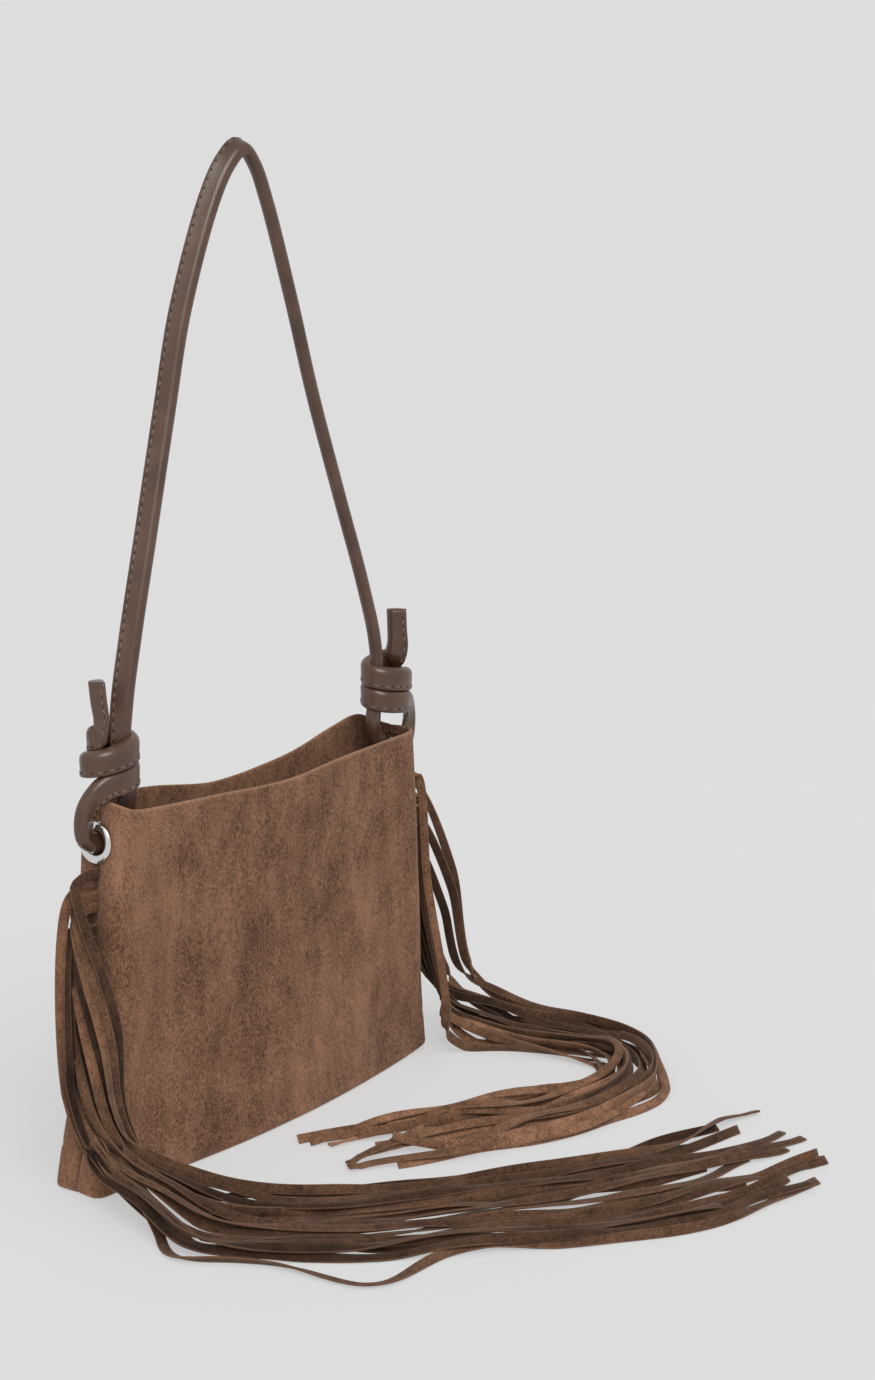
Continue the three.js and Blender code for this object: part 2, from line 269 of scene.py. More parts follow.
eyelet_low, eyelet_high = (Vector(corner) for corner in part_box("right_eyelet"))
eyelet_height = (eyelet_low.z + eyelet_high.z) / 2
eyelet_out = half_width(eyelet_height)
panel_hole = 8.6 * mm
hole_reach = 6 * mm
# Painted highlights along the rim fold and the base fold: where they lie, how strong and how wide.
rim_highlight_at = 0.7 * WALL_SHARE + 0.3 * RIM_SHARE
base_highlight_at = (BASE_SHARE + FOLD_SHARE) / 2
rim_highlight = 0.6
base_highlight = 0.25
highlight_width = 0.012
panel_suede = suede("brushed_suede", (0.066, 0.029, 0.016), (0.292, 0.15, 0.09), (21, 21, 13), 800,
                    painted_fold_highlight)

for name, facing in (("front_panel", -1), ("back_panel", 1)):
    bm = bmesh.new()
    bmesh.ops.create_grid(bm, x_segments=panel_columns, y_segments=panel_rows, size=0.5)
    fold_highlight = bm.verts.layers.float.new("fold_highlight")
    for vert in bm.verts:
        u, v = vert.co.x + 0.5, vert.co.y + 0.5
        vert.co = panel_point(u, v, facing)
        # Painted highlight: a paler line along the rim fold and a fainter one along the base fold.
        vert[fold_highlight] = rim_highlight * bump_at(v - rim_highlight_at, highlight_width)
        vert[fold_highlight] += base_highlight * bump_at(v - base_highlight_at, highlight_width)
    round_hole = []
    for face in bm.faces:
        centre = face.calc_center_median()
        in_side = abs(centre.x) > eyelet_out - hole_reach
        if in_side and math.hypot(centre.y, centre.z - eyelet_height) < panel_hole:
            round_hole.append(face)
    bmesh.ops.delete(bm, geom=round_hole, context="FACES")
    panel = piece("suede_" + name, bm, panel_suede, "bag")
    thicken = panel.modifiers.new("suede_thickness", "SOLIDIFY")
    thicken.thickness = suede_thickness
    thicken.offset = -1
    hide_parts(name)

# Eyelets
# A large nickel eyelet set in each side seam just under the rim: a domed flange with its barrel
# outside, clenched over a flat washer on the inside, so that the strap's end can pass through.

eyelet_hole = 6.5 * mm
eyelet_flange = 11 * mm
eyelet_dome = 1.5 * mm
eyelet_seat = 0.3 * mm
barrel_wall = 0.6 * mm
barrel_end = -4.4 * mm
clench_out = 1.4 * mm
clench_roll = 0.4 * mm
washer_ring = 10.4 * mm
washer_clearance = 0.9 * mm
washer_round = 0.3 * mm
side_lean = math.atan((base_half - mouth_half) / pouch_height)
ring_steps = 72
dome_steps = 10


def polished_nickel():
    material = bpy.data.materials.new("polished_nickel")
    material.use_nodes = True
    nodes = material.node_tree.nodes
    links = material.node_tree.links
    shader = nodes["Principled BSDF"]
    shader.inputs["Base Color"].default_value = (0.78, 0.77, 0.755, 1)
    shader.inputs["Metallic"].default_value = 1
    place = nodes.new("ShaderNodeTexCoord")
    wear = nodes.new("ShaderNodeTexNoise")
    wear.inputs["Scale"].default_value = 260
    wear.inputs["Detail"].default_value = 4
    links.new(place.outputs["Object"], wear.inputs["Vector"])
    spread = nodes.new("ShaderNodeMapRange")
    spread.inputs["To Min"].default_value = 0.1
    spread.inputs["To Max"].default_value = 0.24
    links.new(wear.outputs["Fac"], spread.inputs["Value"])
    links.new(spread.outputs["Result"], shader.inputs["Roughness"])
    return material


def turned_ring(profile, side):
    """Spins a closed profile of (radius, way out) round the eyelet's axis and sets it in a side."""
    bm = bmesh.new()
    verts = [bm.verts.new((radius, 0, out)) for radius, out in profile]
    edges = [bm.edges.new((verts[i - 1], verts[i])) for i in range(len(verts))]
    bmesh.ops.spin(bm, geom=verts + edges, cent=(0, 0, 0), axis=(0, 0, 1), angle=2 * math.pi,
                   steps=ring_steps, use_merge=True)
    bmesh.ops.remove_doubles(bm, verts=bm.verts, dist=1e-6)
    lay = Matrix.Rotation(side * (math.pi / 2 - side_lean), 4, "Y")
    bm.transform(Matrix.Translation((side * eyelet_out, 0, eyelet_height)) @ lay)
    bmesh.ops.recalc_face_normals(bm, faces=bm.faces)
    return bm


def domed_flange():
    middle = (eyelet_hole + eyelet_flange) / 2
    half = (eyelet_flange - eyelet_hole) / 2
    profile = []
    for i in range(dome_steps + 1):
        angle = math.pi * i / dome_steps
        profile.append((middle + half * math.cos(angle), eyelet_seat + eyelet_dome * math.sin(angle)))
    profile.append((eyelet_hole, barrel_end))
    profile.append((eyelet_hole + clench_roll, barrel_end - 0.5 * mm))
    profile.append((eyelet_hole + clench_out, barrel_end - 0.3 * mm))
    profile.append((eyelet_hole + clench_out, barrel_end + clench_roll))
    profile.append((eyelet_hole + barrel_wall, barrel_end + clench_roll))
    profile.append((eyelet_hole + barrel_wall, eyelet_seat))
    return profile


def flat_washer():
    inner = eyelet_hole + washer_clearance
    low, high = -3.3 * mm, -2.3 * mm
    return [(inner, low), (washer_ring - washer_round, low), (washer_ring, low + washer_round),
            (washer_ring, high - washer_round), (washer_ring - washer_round, high), (inner, high)]


nickel = polished_nickel()
for name, side in (("left", -1), ("right", 1)):
    ring = piece(name + "_eyelet_ring", turned_ring(domed_flange(), side), nickel, "bag")
    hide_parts(name + "_eyelet")
    washer = piece(name + "_eyelet_back", turned_ring(flat_washer(), side), nickel, "bag",
                   smooth=False)
    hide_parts(name + "_eyelet_washer")

# Strap
# One length of dark brown leather rolled over a cord and sewn along its edge, which leaves a stitched
# flange. Each end drops into the mouth, comes out through the eyelet, and is wrapped twice round the
# strap and its own tail.

arch_top = 527 * mm
arch_lean = 10 * mm
arch_bow = 5.5 * mm
bow_peak = 27 / 4
knot_in = 11 * mm
knot_foot = 213 * mm
knot_height = 26 * mm
wrap_half_width = 13.4 * mm
wrap_half_depth = 8.8 * mm
wrap_turns = 2
turn_points = 8
standing_in = 7 * mm
tail_length = 28 * mm
strap_seat = eyelet_height + 0.2 * mm
roll_radius = 3.7 * mm
roll_back = 1.6 * mm
flange_radius = 1.1 * mm
flange_out = 5.3 * mm
wrap_widening = 0.13
stitch_share = 0.84
stitch_sink = 0.3 * mm
strap_spacing = 2.5 * mm
look_ahead = 1.7
flange_ease = 3
roll_steps = 14
flange_steps = 5

# The arch from its top to the knot: shares of the standing part's reach and of the rise.
ARCH = [(0, 1), (0.1, 0.972), (0.205, 0.907), (0.41, 0.716), (0.55, 0.543), (0.72, 0.346),
        (0.88, 0.163), (0.965, 0.045)]

# The loop from the eyelet's outside to the standing part: X, Y and Z from where it seats, in
# millimetres, and the X and Z that its flange points to.
EYELET_LOOP = [(7, -2, 21), (9, -0.5, 12), (7, 0, 3.3), (0, 0, 0), (-8, 0, 0.3), (-15, 0, 3.3),
               (-21, 0, 11), (-23, 0, 20)]
LOOP_MIDDLE = (-7, 20)

# The tail above the last wrap: X from the knot's middle and Y in millimetres, and share of its length.
TAIL = [(8, 0, 1), (7.5, -1, 0.6), (6.5, -2, 0.27)]

# How far out the first points of the wraps lie, where the tail dives into the knot's core.
WRAP_START = [0.42, 0.66, 0.88]


def evenly(fine, spacing):
    """Points at an even spacing along a fine row of points."""
    run = [0.0]
    for a, b in zip(fine, fine[1:]):
        run.append(run[-1] + (b - a).length)
    count = max(2, round(run[-1] / spacing))
    even = []
    k = 0
    for i in range(count + 1):
        want = run[-1] * i / count
        while k < len(run) - 2 and run[k + 1] < want:
            k += 1
        step = max(run[k + 1] - run[k], 1e-9)
        even.append(fine[k].lerp(fine[k + 1], min(1, (want - run[k]) / step)))
    return even


def smooth_route(points, spacing):
    """Points at an even spacing on a centripetal curve through the given ones."""
    ends = [2 * points[0] - points[1], *points, 2 * points[-1] - points[-2]]
    fine = [points[0].copy()]
    for p0, p1, p2, p3 in zip(ends, ends[1:], ends[2:], ends[3:]):
        d0 = math.sqrt((p1 - p0).length)
        d1 = math.sqrt((p2 - p1).length)
        d2 = math.sqrt((p3 - p2).length)
        leave = ((p1 - p0) / d0 - (p2 - p0) / (d0 + d1) + (p2 - p1) / d1) * d1
        reach = ((p2 - p1) / d1 - (p3 - p1) / (d1 + d2) + (p3 - p2) / d2) * d1
        steps = max(4, math.ceil(3 * (p2 - p1).length / spacing))
        for i in range(1, steps + 1):
            t = i / steps
            bend = leave * t * (1 - t) ** 2 - reach * t * t * (1 - t)
            fine.append(p1.lerp(p2, t * t * (3 - 2 * t)) + bend)
    return evenly(fine, spacing)


def directions(route):
    last = len(route) - 1
    return [(route[min(i + 1, last)] - route[max(i - 1, 0)]).normalized() for i in range(last + 1)]


def swept(rings):
    """Skins a row of like rings into a closed body with a UV map: U round the ring, V along the row."""
    bm = bmesh.new()
    bm.loops.layers.uv.new("lengthwise")
    round_count = len(rings[0])
    length_count = len(rings) - 1
    bmesh.ops.create_grid(bm, x_segments=round_count, y_segments=length_count, size=0.5, calc_uvs=True)
    for vert in bm.verts:
        across = round((vert.co.x + 0.5) * round_count) % round_count
        down = round((vert.co.y + 0.5) * length_count)
        vert.co = rings[down][across]
    bmesh.ops.remove_doubles(bm, verts=bm.verts, dist=1e-7)
    open_ends = [edge for edge in bm.edges if edge.is_boundary]
    bmesh.ops.holes_fill(bm, edges=open_ends, sides=0)
    bmesh.ops.recalc_face_normals(bm, faces=bm.faces)
    return bm


knot_x = eyelet_out - knot_in
standing_reach = knot_x - standing_in
knot_top = knot_foot + knot_height


def strap_guides(side):
    """One end of the strap from its tail to the arch's top: place, flange's way, how flush it lies."""
    guides = []
    for x, y, up in TAIL:
        guides.append(((knot_x + x * mm, y * mm, knot_top + tail_length * up), (0.2, -1, 0), 0.15))
    wrap_points = wrap_turns * turn_points
    for k in range(wrap_points):
        angle = -2 * math.pi * k / turn_points
        out = WRAP_START[k] if k < len(WRAP_START) else 1
        x = knot_x + out * wrap_half_width * math.cos(angle)
        y = -out * wrap_half_depth * math.sin(angle)
        guides.append(((x, y, knot_top - knot_height * k / wrap_points), (0, 0, -1), 1))
    for x, y, z in EYELET_LOOP:
        inward = Vector((LOOP_MIDDLE[0] - x, 3 * y, LOOP_MIDDLE[1] - z)).normalized()
        guides.append(((eyelet_out + x * mm, y * mm, strap_seat + z * mm), inward, 0))
    guides.append(((standing_reach - 1 * mm, 0, knot_foot + knot_height / 2), (1, 0.2, 0), 0))
    for across, up in reversed(ARCH):
        upright = bump_at(across, 0.16)
        outward = (0.75 * math.sqrt(1 - upright * upright), 0.66, 0.75 * upright)
        back = arch_lean * up + arch_bow * bow_peak * up * up * (1 - up)
        place = (standing_reach * across, back, knot_top + (arch_top - knot_top) * up)
        guides.append((place, outward, 0))
    mirror = Vector((side, 1, 1))
    return [(Vector(place) * mirror, Vector(flange) * mirror, flush) for place, flange, flush in guides]


def strap_lie(route, guides):
    """The way the flange points and how flush it lies, at every point of the route."""
    marks = []
    at = 0
    for i, (place, _, _) in enumerate(guides):
        step = (place - guides[max(0, i - 1)][0]).length
        ahead = range(at, min(len(route), at + round(look_ahead * step / strap_spacing) + 2))
        at = min(ahead, key=lambda k: (route[k] - place).length)
        marks.append(at)
    marks[-1] = len(route) - 1
    wishes = []
    for (a, b), (start, end) in zip(zip(marks, marks[1:]), zip(guides, guides[1:])):
        for k in range(a, b):
            share = (k - a) / (b - a)
            wishes.append((start[1].lerp(end[1], share), start[2] + (end[2] - start[2]) * share))
    wishes.append((guides[-1][1], guides[-1][2]))
    eased = []
    for k in range(len(wishes)):
        near = wishes[max(0, k - flange_ease):k + flange_ease + 1]
        way = sum((wish for wish, _ in near), Vector())
        eased.append((way, sum(flush for _, flush in near) / len(near)))
    return eased


def strap_section(flush):
    """The rolled section: a round roll that thins to the flange, a pressed stitch line on both faces.

    In the knots, where it is pulled flat, it is wider and the flange lies flush with the outer face.
    """
    lift = flush * (roll_radius - flange_radius)
    pulled = 1 + wrap_widening * abs(flush)
    reach = roll_back + flange_out
    apart = math.hypot(reach, lift)
    tilt = math.atan2(lift, reach)
    wrap = math.acos((roll_radius - flange_radius) / apart)
    roll = Vector((-roll_back, 0))
    tip = Vector((flange_out, lift))

    def arc(middle, radius, start, end, steps):
        angles = [start + (end - start) * i / steps for i in range(steps + 1)]
        return [middle + radius * Vector((math.cos(angle), math.sin(angle))) for angle in angles]

    round_side = arc(roll, roll_radius, tilt + wrap, tilt + 2 * math.pi - wrap, roll_steps)
    flange_side = arc(tip, flange_radius, tilt - wrap, tilt + wrap, flange_steps)
    lower = round_side[-1].lerp(flange_side[0], stitch_share)
    lower += stitch_sink * Vector((-math.sin(tilt), math.cos(tilt)))
    upper = round_side[0].lerp(flange_side[-1], stitch_share)
    upper -= stitch_sink * Vector((-math.sin(tilt), math.cos(tilt)))
    return [pulled * corner for corner in (*round_side, lower, *flange_side, upper)]


def strap_leather():
    """Smooth brown leather: a tight grain, rubbed paler in places, with a low satin gloss."""
    material = bpy.data.materials.new("strap_leather")
    material.use_nodes = True
    nodes = material.node_tree.nodes
    links = material.node_tree.links
    shader = nodes["Principled BSDF"]
    shader.inputs["Specular IOR Level"].default_value = 0.55
    place = nodes.new("ShaderNodeTexCoord")
    cloud = nodes.new("ShaderNodeTexNoise")
    cloud.inputs["Scale"].default_value = 45
    cloud.inputs["Detail"].default_value = 5
    pores = nodes.new("ShaderNodeTexVoronoi")
    pores.inputs["Scale"].default_value = 1100
    for texture in (cloud, pores):
        links.new(place.outputs["Object"], texture.inputs["Vector"])
    ramp = nodes.new("ShaderNodeValToRGB")
    ramp.color_ramp.elements[0].position = 0.3
    ramp.color_ramp.elements[0].color = (0.054, 0.0262, 0.0152, 1)
    ramp.color_ramp.elements[1].position = 0.72
    ramp.color_ramp.elements[1].color = (0.106, 0.0545, 0.0318, 1)
    links.new(cloud.outputs["Fac"], ramp.inputs["Fac"])
    links.new(ramp.outputs["Color"], shader.inputs["Base Color"])
    gloss = nodes.new("ShaderNodeMapRange")
    gloss.inputs["To Min"].default_value = 0.2
    gloss.inputs["To Max"].default_value = 0.36
    links.new(cloud.outputs["Fac"], gloss.inputs["Value"])
    links.new(gloss.outputs["Result"], shader.inputs["Roughness"])
    bump = nodes.new("ShaderNodeBump")
    bump.inputs["Strength"].default_value = 0.16
    bump.inputs["Distance"].default_value = 0.15 * mm
    links.new(pores.outputs["Distance"], bump.inputs["Height"])
    links.new(bump.outputs["Normal"], shader.inputs["Normal"])
    return material


guides = strap_guides(-1) + strap_guides(1)[-2::-1]
strap_route = smooth_route([place for place, _, _ in guides], strap_spacing)
strap_rings = []
strap_axes = []
strap_ways = directions(strap_route)
for point, way, (wish, flush) in zip(strap_route, strap_ways, strap_lie(strap_route, guides)):
    flange = (wish - way * wish.dot(way)).normalized()
    level = way.cross(flange)
    from_knot = Vector((abs(point.x) - knot_x, point.y, 0)) * Vector((math.copysign(1, point.x), 1, 1))
    face = math.copysign(flush, level.dot(from_knot))
    strap_axes.append((way, flange, level))
    strap_rings.append([point + flange * f + level * v for f, v in strap_section(face)])
strap = piece("rolled_strap", swept(strap_rings), strap_leather(), "strap")
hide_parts("strap")

# Strap stitching
# Waxed thread sewn through the flange from one tail to the other, in a pressed line near its edge.
# Each stitch lies on the leather between two awl holes, on both faces.
# Each hole is a small near-black form: painted shade in the hole.

stitch_half = 1.55 * mm
stitch_radius = 0.42 * mm
hole_half = 0.75 * mm
hole_depth = 0.4 * mm
lower_line = roll_steps + 1
upper_line = len(strap_rings[0]) - 1


def stitch_finish(name, deep, pale):
    material = bpy.data.materials.new(name)
    material.use_nodes = True
    nodes = material.node_tree.nodes
    links = material.node_tree.links
    shader = nodes["Principled BSDF"]
    shader.inputs["Roughness"].default_value = 0.6
    place = nodes.new("ShaderNodeTexCoord")
    twist = nodes.new("ShaderNodeTexNoise")
    twist.inputs["Scale"].default_value = 900
    links.new(place.outputs["Object"], twist.inputs["Vector"])
    ramp = nodes.new("ShaderNodeValToRGB")
    ramp.color_ramp.elements[0].color = (*deep, 1)
    ramp.color_ramp.elements[1].color = (*pale, 1)
    links.new(twist.outputs["Fac"], ramp.inputs["Fac"])
    links.new(ramp.outputs["Color"], shader.inputs["Base Color"])
    return material


def sewn_row(size, first):
    """One small rounded form after another along both stitch lines, at every second ring."""
    bm = bmesh.new()
    bmesh.ops.create_icosphere(bm, subdivisions=1, radius=1)
    bmesh.ops.scale(bm, verts=bm.verts, vec=size)
    pattern = bpy.data.meshes.new("stitch_pattern")
    bm.to_mesh(pattern)
    bm.clear()
    for k in range(first, len(strap_rings) - 2, 2):
        turn = Matrix(strap_axes[k]).transposed().to_4x4()
        for line in (lower_line, upper_line):
            stitch = pattern.copy()
            stitch.transform(Matrix.Translation(strap_rings[k][line]) @ turn)
            bm.from_mesh(stitch)
            bpy.data.meshes.remove(stitch)
    bpy.data.meshes.remove(pattern)
    return bm


thread = stitch_finish("waxed_thread", (0.13, 0.085, 0.062), (0.27, 0.195, 0.15))
stitches = sewn_row((stitch_half, stitch_radius, stitch_radius), 2)
piece("strap_stitching", stitches, thread, "strap")
# Painted shade: small near-black forms where the awl holes lie.
awl_hole_shade = stitch_finish("awl_hole_shade", (0.018, 0.012, 0.009), (0.03, 0.02, 0.015))
hole_shade = sewn_row((hole_half, hole_half, hole_depth), 3)
piece("strap_awl_hole_shade", hole_shade, awl_hole_shade, "strap")

# Fringe
# Flat laces cut from the same suede, held by a header strip inside each side seam. They leave the seam
# one below the other, fold over, hang down and lie along the floor in a loose bundle, flat or rolled up
# on one edge.

lace_width = 5.3 * mm
lace_thickness = 1.3 * mm
lace_corner = 0.3 * mm
fringe_top = eyelet_height - eyelet_flange - 5 * mm
exit_pitch = 6 * mm
exit_spread = 1.5 * mm
seam_tuck = 3 * mm
exit_stub = 5 * mm
stub_growth = 0.6 * mm
hang_share = 0.6
low_hang = 32 * mm
lane_passes = 3
lace_spacing = 3.5 * mm
lie_height = 18 * mm
lie_gap = 0.25 * mm
stack_rise = 1.6
stack_most = 0.85
crest_window = 2
ease_window = 4
foot_low = 4 * mm
foot_high = 60 * mm
foot_passes = 24

# Each lane's place in the seam, counted down from the top of the fringe.
EXIT_RANKS = [0, 2, 3, 5, 6, 8, 9, 11, 12, 14, 15, 16, 17, 13, 10, 7, 4, 1]

# How each fringe hangs and lies, in millimetres:
# inner and outer are the routes of its edge lanes, the hang at its middle and low down, then points on
# the floor, each as X from the pouch's bottom corner and Y;
# ends is the share of the route that each lace runs;
# stagger is how far apart in depth neighbours hang, and dip how much lower the outer ones come down;
# drawn is how far the hang is gathered and about which lane;
# gathered is the same of the bundle on the floor;
# tuck is how far most of the laces, and the outermost ones, hang in towards the pouch;
# hang_turn is which way they face as they hang, in radians;
# roll is how they lie on the floor at first, in the end, and how much that varies, in degrees;
# tone is the painted light and shade in the hang, on the floor and at the tips.
FRINGES = {
    "left": {
        "stagger": 6.5,
        "drawn": (0.54, 0.43),
        "gathered": (0.92, 0.56),
        "tuck": (0, 0),
        "dip": 0,
        "hang_turn": 2.1,
        "roll": (164, 158, 46),
        "tone": (0.82, 0.5, 0.6),
        "ends": [0.93, 1, 0.95, 0.88, 0.99, 0.91, 1, 0.86, 0.97,
                 0.92, 0.87, 0.98, 0.9, 1, 0.94, 0.85, 0.96, 0.98],
        "inner": [(-7.5, -39), (14, -31.5), (31.5, -65.5), (54.5, -75), (70, -97), (98, -120),
                  (130, -143), (180, -173), (224, -195), (272, -209), (316, -214)],
        "outer": [(-21, 10), (-31, -5.5), (-33, -51), (-36, -94), (-18.5, -119), (22, -168),
                  (66, -206), (112, -248), (160, -278), (212, -297), (258, -303)],
    },
    "right": {
        "stagger": 0,
        "drawn": (0.85, 0.46),
        "gathered": (0.72, 0.42),
        "tuck": (14, -10),
        "dip": 14,
        "hang_turn": 2.1,
        "roll": (132, 30, 54),
        "tone": (0.7, 0.9, 1.75),
        "ends": [1, 0.94, 0.98, 0.9, 0.87, 1, 0.92, 0.97, 0.84,
                 0.95, 0.89, 0.93, 0.99, 0.86, 0.88, 1, 0.91, 0.96],
        "inner": [(7.5, -24), (-2, -48.5), (-3.5, -45), (14, -72.5), (26.5, -101.5), (31.5, -113.5),
                  (8, -124.5), (-31.5, -105.5), (-78.5, -92), (-124, -62), (-162, -50)],
        "outer": [(45, 14), (71, 16), (87.5, -19.5), (101.5, -64), (94, -128), (58.5, -152),
                  (25, -178), (-46, -181), (-79.5, -163), (-132, -136), (-166, -98)],
    },
}
HANG_POINTS = 2

# Share of the tuck at each point of a route, from the middle of the hang on, and the lanes over which
# it changes from that of most laces to that of the outermost ones.
TUCK_SHARES = [0.9, 1, 1, 0.6, 0.2]
tuck_lane = 0.72
tuck_change = 0.25

# How a lace wanders once it is down: how far in millimetres, over what length, and its own draws.
SWAYS = [(5.2, 120 * mm, 0), (2.4, 52 * mm, 50)]
END_SWAY, END_WAVE, END_DRAW = 12, 100 * mm, 90
down_height = 70 * mm
down_ease = 60 * mm
free_run = 40 * mm
settle_points = 2.6

# One lace of the left fringe bows out of the bundle: lane, X of the bow's middle, its half length, how
# far it bows, and how far back it comes on either side, in millimetres.
BOW_LANE, BOW_X, BOW_HALF = 17, -117 * mm, 20 * mm
BOW_OUT, BOW_BACK, BOW_BACK_HALF = 32, 9, 2.4 * BOW_HALF

# How a lace rolls on the floor: where that changes, as shares of its length, the lengths over which it
# varies, and a slight rocking in degrees.
ROLL_START, ROLL_CHANGE = 0.3, 0.35
ROLL_WAVE, ROLL_DRAW = 95 * mm, 130
ROCK, ROCK_WAVE, ROCK_DRAW = 20, 40 * mm, 170

# Where the painted light and shade change to that of the floor and of the tips: start and run, as
# shares of the length.
FLOOR_PAINTED_LIGHT = (0.12, 0.2)
TIP_PAINTED_LIGHT = (0.45, 0.35)

# Runs over which a lace turns from the seam into the hang, and heights over which it turns to lie.
turn_start, turn_run = 4 * mm, 22 * mm
lie_start, lie_run = 60 * mm, 56 * mm
stay_run = 30 * mm

# Laces of the right fringe draw from seeds of their own.
right_seeds = 23


def smoothly(t):
    t = min(1, max(0, t))
    return t * t * (3 - 2 * t)


def waver(run, wave, seed):
    """A smooth wandering value of about one either way, that changes over a wave's length."""
    return 2 * noise.noise(Vector((run / wave, 7.3 * seed, 1.7)))


def lace_seed(side, number):
    return number + right_seeds * (side > 0)


def lace_route(fringe, side, number):
    """One lace's route in plan and height, from the seam to its tip, wandering once it is down."""
    last = len(EXIT_RANKS) - 1
    lane = number / last
    exit_z = fringe_top - EXIT_RANKS[number] * exit_pitch
    exit_x = half_width(exit_z)
    exit_y = exit_spread * (2 * lane - 1)
    stub = exit_stub + stub_growth * (last - EXIT_RANKS[number])
    guides = [Vector((side * (exit_x - seam_tuck), exit_y, exit_z)),
              Vector((side * (exit_x + stub), exit_y, exit_z))]
    drawn, about = fringe["drawn"]
    gathered, middle = fringe["gathered"]
    set_back = fringe["stagger"] * drawn * ((number % lane_passes) - 1)
    most, outermost = fringe["tuck"]
    tuck = most + (outermost - most) * smoothly((lane - tuck_lane) / tuck_change)
    for i, (inner, outer) in enumerate(zip(fringe["inner"], fringe["outer"])):
        low = low_hang - fringe["dip"] * lane * mm
        height = (hang_share * exit_z, low, lace_thickness)[min(i, HANG_POINTS)]
        settle = smoothly((i - 1) / settle_points)
        gather = drawn + (gathered - drawn) * settle
        at = about + (middle - about) * settle + (lane - 0.5) * gather
        spread = (Vector(outer) - Vector(inner)).normalized()
        depth = set_back if i <= HANG_POINTS else 0
        if i < len(TUCK_SHARES):
            depth += tuck * TUCK_SHARES[i]
        flat = Vector(inner).lerp(Vector(outer), at) + depth * Vector((-spread.y, spread.x))
        guides.append(Vector((side * base_half + flat.x * mm, flat.y * mm, height)))
    route = smooth_route(guides, lace_spacing)
    route = route[:round(len(route) * fringe["ends"][number])]
    seed = lace_seed(side, number)
    wandered = []
    for i, (point, way) in enumerate(zip(route, directions(route))):
        run = i * lace_spacing
        sideways = way.cross(Vector((0, 0, 1)))
        down = smoothly((down_height - point.z) / down_ease) * smoothly((run - free_run) / down_ease)
        free_end = smoothly(i / len(route) * 3 - 2)
        sway = sum(far * waver(run, wave, seed + draw) for far, wave, draw in SWAYS)
        sway += END_SWAY * free_end * waver(run, END_WAVE, seed + END_DRAW)
        if side < 0 and number == BOW_LANE:
            sway += BOW_OUT * bump_at(point.x - BOW_X, BOW_HALF)
            sway -= BOW_BACK * bump_at(point.x - BOW_X, BOW_BACK_HALF)
        wandered.append(point + sideways * sway * mm * down)
    return evenly(wandered, lace_spacing)


def lace_tilt(roll, run, share, seed):
    """How a lace lies on the floor: flat for a stretch, then rolled up on one edge or the other."""
    first, end, vary = roll
    tilt = first + (end - first) * smoothly((share - ROLL_START) / ROLL_CHANGE)
    tilt += vary * waver(run, ROLL_WAVE, seed + ROLL_DRAW)
    tilt += ROCK * waver(run, ROCK_WAVE, seed + ROCK_DRAW)
    return math.radians(tilt)


def lace_painted_light(tone, share):
    """Painted light and shade along a lace, from the seam to the tip."""
    hang, down, tip = tone
    pale = hang + (down - hang) * smoothly((share - FLOOR_PAINTED_LIGHT[0]) / FLOOR_PAINTED_LIGHT[1])
    return pale + (tip - down) * smoothly((share - TIP_PAINTED_LIGHT[0]) / TIP_PAINTED_LIGHT[1])


def rounded_foot(route):
    """Eases a lace where it comes down to the floor, so that it bends no tighter than suede does."""
    for _ in range(foot_passes):
        eased = route[:]
        for i in range(1, len(route) - 1):
            if foot_low < route[i].z < foot_high:
                eased[i] = (route[i - 1] + 2 * route[i] + route[i + 1]) / 4
        route = eased
    return route


def lay_down(route, tilts, laid):
    """Rests a lace on the floor and on the laces that are down already, in long low humps."""
    tree = kdtree.KDTree(max(1, len(laid)))
    for i, (point, _, _) in enumerate(laid):
        tree.insert((point.x, point.y, 0), i)
    tree.balance()
    highs = [(abs(math.sin(t)) * lace_width + abs(math.cos(t)) * lace_thickness) / 2 for t in tilts]
    broads = [(abs(math.cos(t)) * lace_width + abs(math.sin(t)) * lace_thickness) / 2 for t in tilts]
    heights = []
    for point, high, broad in zip(route, highs, broads):
        height = max(point.z, high)
        if laid and point.z < lie_height:
            reach = broad + lace_width / 2 + lie_gap
            for _, index, apart in tree.find_range((point.x, point.y, 0), reach):
                under, under_high, under_broad = laid[index]
                overlap = 1 - apart / (broad + under_broad + lie_gap)
                if overlap > 0 and under.z < lie_height:
                    stacked = min(stack_most, stack_rise * overlap)
                    height = max(height, under.z + (high + under_high) * stacked)
        heights.append(height)
    crests = []
    for i, point in enumerate(route):
        near = heights[max(0, i - crest_window):i + crest_window + 1]
        crests.append(max(near) if point.z < lie_height else heights[i])
    laced = []
    for i, point in enumerate(route):
        span = min(ease_window, i, len(route) - 1 - i)
        near = crests[i - span:i + span + 1]
        laced.append(Vector((point.x, point.y, max(sum(near) / len(near), highs[i]))))
    laced = rounded_foot(laced)
    laid += zip(laced, highs, broads)
    return laced


